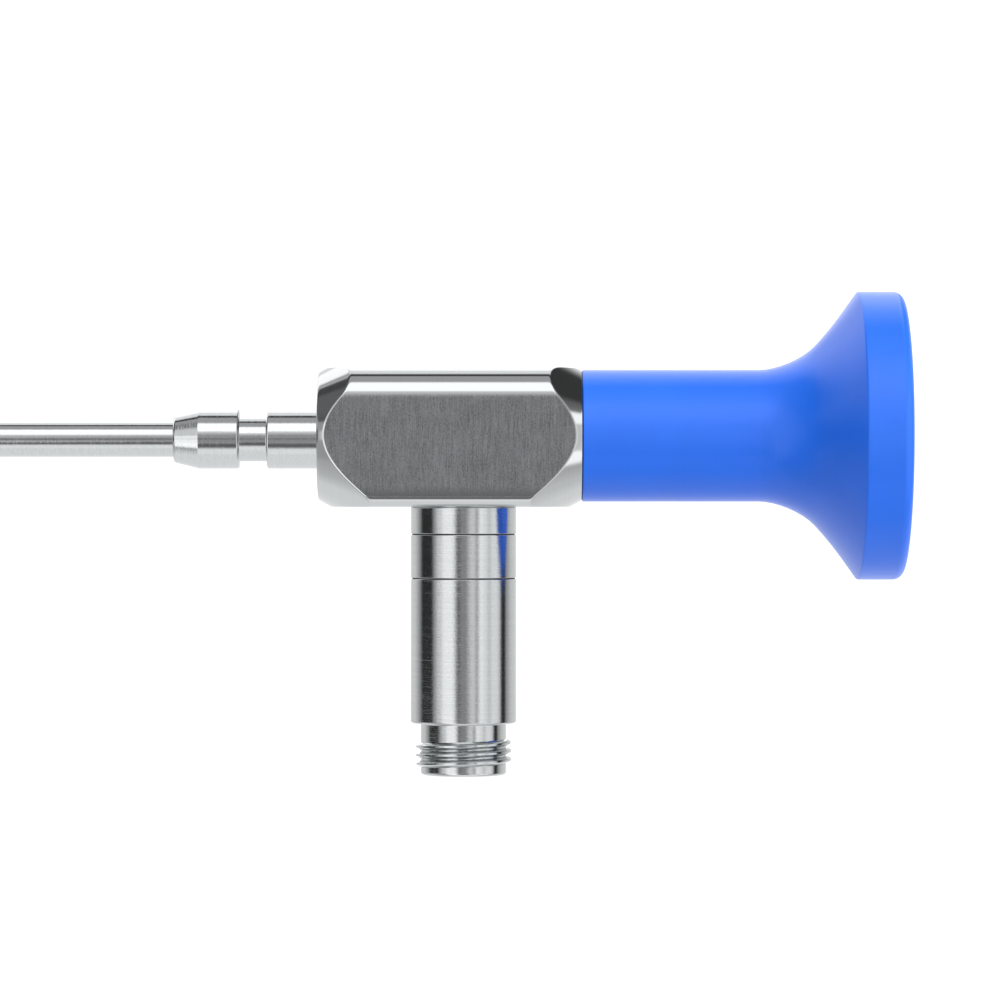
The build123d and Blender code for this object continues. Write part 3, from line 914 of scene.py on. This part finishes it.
@dataclass
class Block:
    """The steel bar with turned ends that joins the shaft, the eyecup and the light post."""

    front: float = -15.95
    back: float = 13.1
    above: float = 7.5
    below: float = 7.85
    half_depth: float = 7.5
    face_radius: float = 7.08
    cone_angle: float = 29.0
    top_round: float = 3.6
    bottom_round: float = 1.25
    edge_break: float = 0.12
    back_break: float = 0.04
    column: float = 0.3
    arc_columns: int = 26
    small_arc_columns: int = 8
    shaft_bore_radius: float = 2.83
    shaft_bore_depth: float = 3.5
    housing_bore_radius: float = 5.03
    housing_bore_depth: float = 9.5

    @property
    def hold(self) -> float:
        """How far from an edge the rings that keep it sharp lie."""
        return 2.5 * self.edge_break

    def half_section(self) -> list[Vector]:
        """The bar's section from the middle of its top to the middle of its bottom.

        Returns:
            Places across the bar, on the side that faces the camera.
        """
        def line(start: Vector, end: Vector) -> list[Vector]:
            """A straight run with a narrow column at each end."""
            run = end - start
            count = max(1, round(run.length / self.column))
            shares = [HOLD / run.length]
            shares += [step / count for step in range(1, count)]
            shares += [1 - HOLD / run.length]
            return [start + run * share for share in shares]

        def arc(centre: Vector, radius: float, start: float, count: int) -> list[Vector]:
            """A quarter turn towards the bottom."""
            angles = [start - math.pi / 2 * step / count for step in range(count + 1)]
            return [centre + Vector((0, math.sin(a), math.cos(a))) * radius for a in angles]

        top = Vector((0, self.above - self.top_round, self.half_depth - self.top_round))
        low = Vector((0, self.bottom_round - self.below, self.half_depth - self.bottom_round))
        upper = arc(top, self.top_round, math.pi / 2, self.arc_columns)
        lower = arc(low, self.bottom_round, 0.0, self.small_arc_columns)
        middle_top = Vector((0, self.above, 0))
        middle_bottom = Vector((0, -self.below, 0))
        return [
            middle_top,
            *line(middle_top, upper[0]),
            *upper,
            *line(upper[-1], lower[0]),
            *lower,
            *line(lower[-1], middle_bottom),
            middle_bottom,
        ]

    def rings(self) -> list[list[Vector]]:
        """The bar's rings from its front face to its back face.

        Returns:
            For each ring its places, the cones' edges among them.
        """
        half = self.half_section()
        section = half + [Vector((0, place.y, -place.z)) for place in reversed(half[1:-1])]
        slope = math.tan(math.radians(self.cone_angle))

        def ring(face: float, inward: float, share: float, step: float) -> list[Vector]:
            """One ring, at a share of the way from the face to the cone's edge and a step on."""
            places = []
            for place in section:
                reach = place.length
                along = share * (reach - self.face_radius) / slope + step
                radius = min(reach, self.face_radius + along * slope)
                spot = place * (radius / reach)
                spot.x = face + inward * along
                places.append(spot)
            return places

        hold = self.hold
        cone = ((0.0, 0.0), (0.0, hold), (1.0, -hold), (1.0, 0.0), (1.0, hold))
        front = [ring(self.front, 1, share, step) for share, step in cone]
        back = [ring(self.back, -1, share, step) for share, step in reversed(cone)]
        return front + back

    def bar(self, bench: Bench) -> Piece:
        """Raise the bar ring by ring, close its ends and break its edges."""
        rings = self.rings()
        piece = bench.loop("body_bar", rings[0])
        bench.edit(piece)
        for here, there in zip(rings, rings[1:]):
            index = {self.key(place): number for number, place in enumerate(here)}
            bench.pick(piece, lambda co: self.key(co) in index)
            bpy.ops.mesh.extrude_region_move()
            mesh = bmesh.from_edit_mesh(piece.data)
            for vertex in mesh.verts:
                if vertex.select:
                    vertex.co = there[index[self.key(vertex.co)]]
            bmesh.update_edit_mesh(piece.data)
        for face, bore, depth, inward in (
            (rings[0], self.shaft_bore_radius, self.shaft_bore_depth, 1),
            (rings[-1], self.housing_bore_radius, self.housing_bore_depth, -1),
        ):
            bench.pick(piece, self.on(face), "EDGE")
            bpy.ops.mesh.edge_face_add()
            bench.pick(piece, self.on(face), "FACE")
            bpy.ops.mesh.inset(thickness=self.hold)
            bpy.ops.mesh.inset(thickness=self.face_radius - self.hold - bore)
            bpy.ops.mesh.extrude_region_move(
                TRANSFORM_OT_translate={"value": (inward * depth, 0, 0)}
            )
        for ring, edge in (
            (rings[0], self.edge_break),
            (rings[3], self.edge_break),
            (rings[6], self.edge_break),
            (rings[-1], self.back_break),
        ):
            bench.pick(piece, self.on(ring), "EDGE")
            bench.bevel(edge)
        bench.tidy()
        return piece

    def on(self, ring: Sequence[Vector]) -> Test:
        """A test for being a corner of one ring."""
        keys = {self.key(place) for place in ring}
        return lambda co: self.key(co) in keys

    @staticmethod
    def key(place: Vector) -> tuple[int, int, int]:
        """A place rounded to half a micrometre, to find it again."""
        return tuple(round(part * KEYS_PER_MM) for part in place)

    def build(self, shop: Workshop) -> None:
        """Make the block."""
        piece = self.bar(shop.bench)
        shop.finish(piece, Turning.OPTICAL, GroundSteel, "satin_steel", "body_block")


@dataclass
class Eyecup:
    """The blue barrel that flares out to the rim, with its funnel."""

    front: float = 13.1
    length: float = 35.25
    barrel_radius: float = 7.25
    rim_radius: float = 15.85
    rim_land: float = 5.0
    flare_radius: float = 8.6
    flare_turn: float = 46.0
    skirt_radius: float = 30.0
    skirt_turn: float = 8.5
    front_round: float = 0.05
    rim_front_round: float = 0.3
    rim_back_round: float = 1.1
    rim_lip: float = 1.85
    lip_round: float = 0.55
    funnel_depth: float = 14.3
    throat_radius: float = 5.2
    throat_length: float = 2.4
    bore_radius: float = 5.93

    def corners(self) -> list[Corner]:
        """The eyecup's outline: barrel, flare, skirt, rim, funnel, throat and bore."""
        back = self.front + self.length
        rim_front = back - self.rim_land
        first = math.radians(self.flare_turn)
        second = math.radians(self.flare_turn + self.skirt_turn)
        flare_tangent = self.flare_radius * math.tan(first / 2)
        skirt_tangent = self.skirt_radius * math.tan((second - first) / 2)
        reach = flare_tangent + skirt_tangent
        skirt_corner = self.barrel_radius + reach * math.sin(first)
        skirt_station = rim_front - (self.rim_radius - skirt_corner) / math.tan(second)
        flare_corner = skirt_station - reach * math.cos(first)
        ring_face = back - self.funnel_depth
        return [
            Corner(self.front, self.bore_radius),
            Corner(self.front, self.barrel_radius, self.front_round),
            Corner(flare_corner, self.barrel_radius, self.flare_radius),
            Corner(skirt_station, skirt_corner, self.skirt_radius),
            Corner(rim_front, self.rim_radius, self.rim_front_round),
            Corner(back, self.rim_radius, self.rim_back_round),
            Corner(back, self.rim_radius - self.rim_lip, self.lip_round),
            Corner(ring_face + self.throat_length, self.throat_radius, self.lip_round),
            Corner(ring_face, self.throat_radius),
            Corner(ring_face, self.bore_radius),
        ]

    def build(self, shop: Workshop) -> None:
        """Turn the eyecup."""
        look = (Turning.OPTICAL, BluePlastic, "blue_plastic", "eyecup")
        shop.turn("eyecup_shell", self.corners(), *look)


@dataclass
class Eyepiece:
    """The window in the eyecup's throat and the ring that holds it."""

    face: float = 34.05
    ring_length: float = 1.6
    ring_width: float = 1.7
    housing_radius: float = 5.9
    window_radius: float = 4.5
    window_length: float = 0.88
    lens_gap: float = 0.02
    edge_round: float = 0.12

    def build(self, shop: Workshop) -> None:
        """Turn the ring and the window."""
        start = self.face - self.ring_length
        seat = self.face - self.window_length - self.lens_gap
        hole = self.window_radius + self.lens_gap
        corners = [
            Corner(start, self.housing_radius - self.ring_width),
            Corner(start, self.housing_radius),
            Corner(self.face, self.housing_radius, self.edge_round),
            Corner(self.face, hole, self.edge_round),
            Corner(seat, hole),
            Corner(seat, self.housing_radius - self.ring_width),
        ]
        look = (Turning.OPTICAL, BlackMetal, "black_metal", "window_ring")
        shop.turn("window_clamp", corners, *look)
        corners = [
            Corner(self.face - self.window_length, 0),
            Corner(self.face - self.window_length, self.window_radius, self.edge_round / 2),
            Corner(self.face, self.window_radius, self.edge_round / 2),
            Corner(self.face, 0),
        ]
        look = (Turning.OPTICAL, OpticalGlass, "optical_glass", "eyepiece_window")
        shop.turn("window_glass", corners, *look)


@dataclass
class LightPost:
    """The post that a light cable screws onto: its flange, a ring and a threaded sleeve."""

    start: float = 7.85
    flange_end: float = 10.85
    ring_end: float = 15.7
    sleeve_end: float = 31.65
    end: float = 37.35
    radius: float = 5.8
    edge_break: float = 0.14
    sleeve_round: float = 0.25
    seam_gap: float = 0.06
    seam_round: float = 0.06
    seam_radius: float = 4.9
    # outer radius of the black rings in the joints, just under the surface: painted shade for the
    # gaps
    seam_shade_radius: float = 5.66
    spigot_radius: float = 2.8
    spigot_length: float = 1.6
    bundle_radius: float = 1.13
    core_radius: float = 3.7
    core_end: float = 30.65
    core_tip_radius: float = 3.0
    cone_seat_radius: float = 2.48
    cone_start: float = 28.05
    glass_end: float = 35.75
    slide_gap: float = 0.03
    neck_radius: float = 4.69
    neck_chamfer: float = 0.35
    thread_radius: float = 5.25
    thread_pitch: float = 0.94
    thread_root: float = 0.86
    thread_crest: float = 0.2
    thread_shoulder: float = 0.05
    thread_front: float = 33.98
    thread_lead: float = 150.0
    thread_turn: float = 1020.0
    thread_taper: float = 70.0
    thread_step: float = 3.0
    thread_fade: float = 0.7

    def notch(self, joint: float, side: int) -> list[Corner]:
        """One side of the groove round a joint.

        Args:
            joint: Where the two pieces meet.
            side: 1 for the piece behind the joint, -1 for the one in front of it.

        Returns:
            Its corners, in the order of a rising place along the post.
        """
        wall = joint + side * self.seam_gap
        corners = [
            Corner(joint, self.seam_radius),
            Corner(wall, self.seam_radius),
            Corner(wall, self.radius, self.seam_round),
        ]
        return corners[::side]

    def flange(self, shop: Workshop) -> None:
        """Turn the post itself, of which the flange shows."""
        corners = [
            Corner(self.start - self.spigot_length, self.bundle_radius),
            Corner(self.start - self.spigot_length, self.spigot_radius),
            Corner(self.start, self.spigot_radius),
            Corner(self.start, self.radius, self.edge_break),
            *self.notch(self.flange_end, -1),
            Corner(self.flange_end, self.core_radius),
            Corner(self.core_end, self.core_radius),
            Corner(self.core_end, self.core_tip_radius),
            Corner(self.glass_end, self.core_tip_radius),
            Corner(self.glass_end, self.cone_seat_radius),
            Corner(self.cone_start, self.cone_seat_radius),
            Corner(self.cone_start, self.bundle_radius),
        ]
        look = (Turning.POST, TurnedSteel, "polished_steel", "light_post")
        shop.turn("post_flange", corners, *look)

    def ring(self, shop: Workshop) -> None:
        """Turn the ring between the flange and the sleeve."""
        bore = self.core_radius + self.slide_gap
        corners = [
            Corner(self.flange_end, bore),
            *self.notch(self.flange_end, 1),
            *self.notch(self.ring_end, -1),
            Corner(self.ring_end, bore),
        ]
        look = (Turning.POST, TurnedSteel, "polished_steel", "adapter_ring")
        shop.turn("post_ring", corners, *look)

    def seam_shade_rings(self, shop: Workshop) -> None:
        """Turn black rings into the two joints, just under the surface, as painted shade in their
        gaps.
        """
        # painted shade: each black ring sits in a joint's gap so that the gap shows black
        for name, joint in (("flange_seam_shade", self.flange_end), ("sleeve_seam_shade", self.ring_end)):
            front = joint - self.seam_gap
            back = joint + self.seam_gap
            corners = [
                Corner(front, self.seam_radius),
                Corner(front, self.seam_shade_radius),
                Corner(back, self.seam_shade_radius),
                Corner(back, self.seam_radius),
            ]
            shop.turn(name, corners, Turning.POST, SealRubberAndSeamShade, "seal_rubber")

    def thread(self, bench: Bench) -> Piece:
        """Wind the thread: a ridge that runs round the neck and fades out at both ends.

        Returns:
            The ridge, closed, with its foot inside the neck.
        """
        lead = math.radians(self.thread_lead)
        turn = math.radians(self.thread_turn)
        start = self.thread_front - self.thread_pitch * lead / math.tau
        foot = self.neck_radius - 2 * HOLD
        shoulder = self.thread_shoulder
        section = [
            (-self.thread_root / 2, foot),
            (-self.thread_root / 2, self.neck_radius),
            (-self.thread_crest / 2 - shoulder, self.thread_radius - shoulder),
            (-self.thread_crest / 2, self.thread_radius),
            (self.thread_crest / 2, self.thread_radius),
            (self.thread_crest / 2 + shoulder, self.thread_radius - shoulder),
            (self.thread_root / 2, self.neck_radius),
            (self.thread_root / 2, foot),
        ]
        places = [
            Vector((start + along, radius * math.sin(lead), radius * math.cos(lead)))
            for along, radius in section
        ]
        ridge = bench.loop("thread", places)
        steps = round(self.thread_turn / self.thread_step)
        bench.modify(
            ridge,
            "SCREW",
            axis="X",
            angle=turn,
            screw_offset=self.thread_pitch * turn / math.tau,
            steps=steps,
            render_steps=steps,
            use_merge_vertices=False,
            use_smooth_shade=True,
        )
        for number, vertex in enumerate(ridge.data.vertices):
            turned = self.thread_turn * (number // len(section)) / steps
            ends = min(turned, self.thread_turn - turned) / self.thread_taper
            share = min(1.0, max(0.0, ends)) ** self.thread_fade
            radius = vertex.co.yz.length
            risen = foot + (radius - foot) * share
            vertex.co.yz = vertex.co.yz * (risen / radius)
        bench.edit(ridge)
        bpy.ops.mesh.select_non_manifold()
        bpy.ops.mesh.fill_holes(sides=0)
        bench.tidy()
        return ridge

    def sleeve(self, shop: Workshop) -> None:
        """Turn the sleeve and its neck and put the thread on it."""
        bench = shop.bench
        bore = self.core_radius + self.slide_gap
        tip_bore = self.core_tip_radius + self.slide_gap
        corners = [
            Corner(self.ring_end, bore),
            *self.notch(self.ring_end, 1),
            Corner(self.sleeve_end, self.radius, self.sleeve_round),
            Corner(self.sleeve_end, self.neck_radius, self.edge_break),
            Corner(self.end, self.neck_radius, self.neck_chamfer),
            Corner(self.end, tip_bore, self.edge_break),
            Corner(self.core_end + self.slide_gap, tip_bore),
            Corner(self.core_end + self.slide_gap, bore),
        ]
        piece = bench.turned("post_sleeve", corners)
        ridge = self.thread(bench)
        bench.take(piece)
        ridge.select_set(True)
        bpy.ops.object.join()
        shop.finish(piece, Turning.POST, TurnedSteel, "polished_steel", "adapter_sleeve")

    def build(self, shop: Workshop) -> None:
        """Make the post's turned pieces and the black rings of painted shade in its joints."""
        self.flange(shop)
        self.ring(shop)
        self.sleeve(shop)
        self.seam_shade_rings(shop)


INNER_LOOKS: tuple[tuple[type[Finish], tuple[str, ...]], ...] = (
    (BlackMetal, ("spacer", "stop", "retainer", "housing", "window_ring")),
    (OpticalGlass, ("window", "lens", "prism", "light_cone")),
    (SealRubberAndSeamShade, ("seal",)),
    (FibreGlass, ("fibres",)),
)


def dress_inside(shop: Workshop, nodes: dict[str, Piece]) -> None:
    """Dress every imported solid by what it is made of, which its name tells.

    Args:
        shop: Where the finishes are.
        nodes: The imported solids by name.
    """
    for name, solid in nodes.items():
        fitting = [look for look, words in INNER_LOOKS if any(word in name for word in words)]
        look = shop.looks[(fitting or [TurnedSteel])[0]]
        look.dress(solid)
        log.info("%s: %s", name, look.name)


@dataclass(frozen=True)
class Sector:
    """A part of the tent's turn round the camera's line, from its start to the next one's.

    Its strips say how brightly the tent shines between two angles off the camera's line: start,
    end and glow. Both turn and angles are in degrees, and the glow changes evenly between strips.
    """

    start: float
    strips: tuple[Strip, ...]


LEFT = (
    (0, 1, 0.28), (6.5, 13, 0.09), (16, 16.5, 0.4), (20, 21, 0.92), (26, 44, 1.3), (50, 56, 1.0),
    (66, 68.5, 0.4), (72, 102, 0.035), (108, 109, 0.32), (120, 121, 0.64), (130, 180, 0.85),
)
LEFT_FLANK = (
    (0, 1, 0.3), (7, 13, 0.2), (22, 46, 1.5), (52, 76, 0.5), (90, 180, 0.75),
)
LOWER_LEFT = (
    (0, 16, 0.45), (25, 47, 1.7), (50.5, 52.5, 0.5), (56, 72, 0.6), (88, 89, 0.75),
    (104, 180, 1.05),
)
BOTTOM = (
    (0, 1, 0.36), (4, 5, 0.32), (9, 16, 0.4), (24, 31, 0.17), (35, 35.5, 0.4), (38.5, 39, 0.85),
    (43, 60, 1.18), (64, 180, 1.08),
)
LOWER_RIGHT = (
    (0, 16, 0.3), (25, 60, 1.0), (76, 80, 0.66), (94, 98, 0.85), (116, 180, 1.05),
)
LAMP = (
    (0, 16, 0.4), (25, 48, 1.0), (56, 72, 1.65), (82, 100, 0.6), (110, 180, 0.9),
)
RIGHT = (
    (0, 1, 0.32), (5, 5.5, 0.37), (10, 10.5, 0.68), (15, 25, 0.92), (29, 31, 0.5),
    (33.5, 34, 0.88), (37, 41, 1.3), (47, 52, 1.12), (56, 61, 0.88), (66, 78, 1.1),
    (85, 86, 0.85), (91, 91.5, 0.21), (94, 102, 0.04), (110, 112, 0.48), (124, 125, 0.78),
    (134, 180, 0.86),
)
UPPER_RIGHT = (
    (0, 10, 0.36), (25, 50, 0.6), (76, 78, 0.2), (84, 125, 0.06), (131, 131.5, 0.15),
    (141, 141.5, 0.45), (154, 180, 0.87),
)
TOP = (
    (0, 13, 0.38), (17, 17.5, 0.58), (21, 22, 0.8), (26, 27, 1.0), (30, 58.5, 1.8),
    (65, 87, 0.53), (91.5, 97.5, 0.04), (101.5, 102, 1.0), (106, 118, 1.2), (124, 140, 1.75),
    (144, 145, 1.35), (152, 180, 1.65),
)
UPPER_LEFT = (
    (0, 10, 0.5), (22, 50, 0.95), (60, 66, 0.15), (70, 90, 0.185), (94, 103, 0.09),
    (105.5, 106.5, 0.75), (109, 109.5, 0.4), (113, 136, 1.7), (142, 155, 1.05), (165, 180, 1.6),
)


@dataclass
class Studio:
    """A white light tent with dark gaps, a pale table and the camera."""

    camera_place: tuple[float, float, float] = (4.02, -7.08, 485.0)
    lens: float = 158.4
    sensor: float = 36.0
    table_half: float = 1.6
    full_glow: float = 2.0
    seam: float = 2.0
    soft_rise: tuple[float, float, float] = (1.1, 1.0, 1.6)
    soft_start: float = 0.05
    seen: Colour = (0.5, 0.5, 0.5)
    table_dark: Colour = (0.11, 0.11, 0.11)
    table_light: Colour = (0.14, 0.14, 0.14)
    table_cloud: float = 3.0
    near_clip: float = 0.01
    sectors: tuple[Sector, ...] = (
        Sector(-180, LEFT),
        Sector(-173, LEFT_FLANK),
        Sector(-150, LOWER_LEFT),
        Sector(-122, BOTTOM),
        Sector(-58, LOWER_RIGHT),
        Sector(-36, LAMP),
        Sector(-22, RIGHT),
        Sector(17, LAMP),
        Sector(30.5, UPPER_RIGHT),
        Sector(63, TOP),
        Sector(120, UPPER_LEFT),
        Sector(161, LEFT_FLANK),
        Sector(173, LEFT),
    )

    def stops(self, strips: Sequence[Strip]) -> list[tuple[float, float]]:
        """A ramp's stops for strips, with half a turn as its length."""
        return [
            (edge / HALF_TURN, glow / self.full_glow)
            for start, end, glow in strips
            for edge in (start, end)
        ]

    def tent(self, frame: ScopeFrame) -> None:
        """Build the light tent as the world: strips for what shines, soft light for the rest.

        Args:
            frame: The scope's axes, which the strips are set by.
        """
        world = bpy.data.worlds.new("light_tent")
        bpy.context.scene.world = world
        world.use_nodes = True
        world.cycles.sampling_method = "NONE"
        graph = Graph(world.node_tree)
        way = graph.node("ShaderNodeTexCoord", None, None, "Generated")
        x, y, z = (
            graph.node(
                "ShaderNodeVectorMath",
                {"operation": "DOT_PRODUCT"},
                {"Vector": way, "Vector_001": tuple(axis)},
                "Value",
            )
            for axis in (frame.along, frame.away, frame.facing)
        )
        off = x.hypot(y).angle(z) / math.pi
        turn = y.angle(x) * (HALF_TURN / math.pi)
        glow = graph.ramp(off, self.stops(self.sectors[0].strips))
        for sector in self.sectors[1:]:
            reached = turn.between(sector.start - self.seam, sector.start + self.seam)
            glow = graph.mix(reached, glow, graph.ramp(off, self.stops(sector.strips)))
        rise = blend((x, y, z), self.soft_rise)
        soft = (rise - self.soft_start).at_least(0.0) / self.full_glow
        camera_ray = graph.node("ShaderNodeLightPath", None, None, "Is Camera Ray")
        diffuse_ray = graph.node("ShaderNodeLightPath", None, None, "Is Diffuse Ray")
        colour = graph.mix(camera_ray, graph.mix(diffuse_ray, glow, soft), self.seen)
        sockets = {"Color": colour, "Strength": self.full_glow}
        light = graph.node("ShaderNodeBackground", None, sockets)
        graph.node("ShaderNodeOutputWorld", None, {"Surface": light})

    def table(self) -> None:
        """Lay the pale table that the scope lies on."""
        Bench.clear()
        bpy.ops.mesh.primitive_plane_add(size=2 * self.table_half)
        table = bpy.context.object
        table.name = "table"
        material = bpy.data.materials.new("pale_table")
        material.use_nodes = True
        graph = Graph(material.node_tree)
        place = graph.node("ShaderNodeTexCoord", None, None, "Object")
        cloud = graph.noise(place, self.table_cloud)
        surface = graph.node(
            "ShaderNodeBsdfPrincipled",
            None,
            {
                "Base Color": graph.mix(cloud, self.table_dark, self.table_light),
                "Roughness": 0.9,
                "Specular IOR Level": 0.1,
                "Emission Color": (1.0, 1.0, 1.0),
                "Emission Strength": 1.05,
            },
        )
        graph.node("ShaderNodeOutputMaterial", None, {"Surface": surface})
        table.data.materials.append(material)
        table.visible_glossy = False

    def camera(self, frame: ScopeFrame) -> None:
        """Set the camera up over the scope.

        Args:
            frame: The scope's axes; the camera looks against its z.
        """
        data = bpy.data.cameras.new("camera")
        data.lens = self.lens
        data.sensor_width = self.sensor
        data.clip_start = self.near_clip
        camera = bpy.data.objects.new("camera", data)
        bpy.context.scene.collection.objects.link(camera)
        place = frame.point(*self.camera_place)
        camera.matrix_world = Matrix.Translation(place) @ frame.turn.to_4x4()
        bpy.context.scene.camera = camera

    def build(self, frame: ScopeFrame) -> None:
        """Set up the tent, the table, the camera and the plain way of showing colours."""
        self.tent(frame)
        self.table()
        self.camera(frame)
        bpy.context.scene.view_settings.view_transform = "Standard"


def main() -> None:
    """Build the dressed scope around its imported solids."""
    logging.basicConfig(level=logging.INFO, format="%(name)s %(message)s")
    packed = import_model()
    frame = ScopeFrame.read(packed["record"])
    shop = Workshop.open(frame)
    dress_inside(shop, packed["nodes"])
    for part in (Shaft(), Block(), Eyecup(), Eyepiece(), LightPost()):
        part.build(shop)
    Studio().build(frame)


if __name__ == "__main__":
    main()
